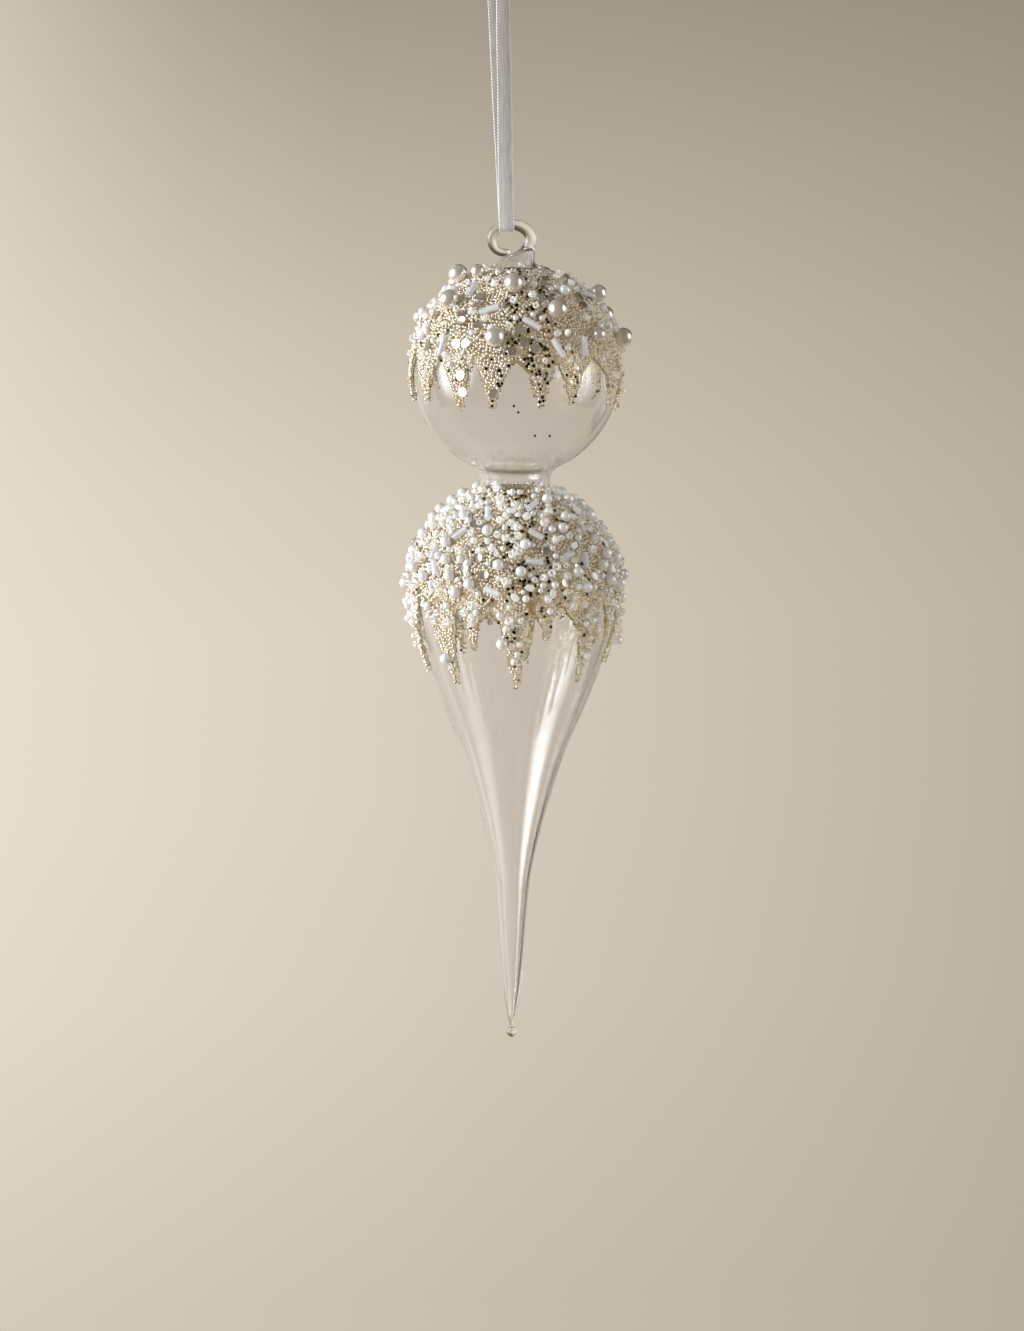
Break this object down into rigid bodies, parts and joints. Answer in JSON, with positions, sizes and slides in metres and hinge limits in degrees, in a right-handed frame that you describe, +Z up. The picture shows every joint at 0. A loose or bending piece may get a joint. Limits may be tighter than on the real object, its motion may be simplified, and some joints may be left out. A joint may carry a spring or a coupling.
{
  "type": "icicle hanging ornament",
  "caption": "Clear blown glass hanging ornament: a ball, a waist and a long icicle taper, with beaded crusts running down in drips, a glass hook and a satin ribbon loop.",
  "frame": {"origin": "the hang point: between the two strands of the ribbon loop, under its knot", "axes": "+Z up, along the taut ribbon; -Y is the ornament's front; +X to its right"},
  "size_m": [0.0743, 0.0697, 0.3834],
  "materials": {
    "satin_ribbon": "satin, pale grey with a lilac cast, woven edges",
    "blown_glass": "clear, thin blown wall, fire polished",
    "glue": "clear cured glue, slightly amber",
    "microbeads": "champagne-silver metallised microbeads",
    "pearl": "pearlescent ivory lacquer",
    "bugle_glass": "iridescent satin glass tube",
    "sequin_foil": "taupe-grey mirror foil",
    "seed_glass": "clear glass, slightly green",
    "shell": "white, slightly iridescent",
    "crystal": "clear, polished"
  },
  "bodies": {
    "ribbon": {"ribbon_loop": "satin_ribbon", "ribbon_knot": "satin_ribbon", "ribbon_tails": "satin_ribbon"},
    "ornament": {"glass_hook": "blown_glass", "top_neck": "blown_glass", "upper_ball": "blown_glass", "waist": "blown_glass", "lower_bulb": "blown_glass", "icicle_tail": "blown_glass", "tip_drop": "blown_glass", "upper_glue_film": "glue", "lower_glue_film": "glue", "upper_bead_crust": "microbeads", "lower_bead_crust": "microbeads", "upper_fringe_1": "microbeads", "upper_fringe_2": "microbeads", "upper_fringe_3": "microbeads", "upper_fringe_4": "microbeads", "upper_fringe_5": "microbeads", "upper_fringe_6": "microbeads", "upper_fringe_7": "microbeads", "upper_fringe_8": "microbeads", "lower_fringe_1": "microbeads", "lower_fringe_2": "microbeads", "lower_fringe_3": "microbeads", "lower_fringe_4": "microbeads", "lower_fringe_5": "microbeads", "lower_fringe_6": "microbeads", "lower_fringe_7": "microbeads", "lower_fringe_8": "microbeads", "upper_big_pearls": "pearl", "upper_small_pearls": "pearl", "upper_bugles": "bugle_glass", "upper_sequins": "sequin_foil", "upper_seed_beads": "seed_glass", "lower_pearls": "pearl", "lower_bugles": "bugle_glass", "lower_sequins": "sequin_foil", "lower_seed_beads": "seed_glass", "lower_shell_chips": "shell", "lower_crystals": "crystal", "fringe_pearls": "pearl", "fringe_sequins": "sequin_foil"}
  },
  "joints": [
    {"name": "ornament_swing", "type": "hinge", "parent": "ribbon", "child": "ornament", "pos_m": [0, 0, -0.095], "axis": [1, 0, 0], "range_deg": [-60, 60]}
  ]
}
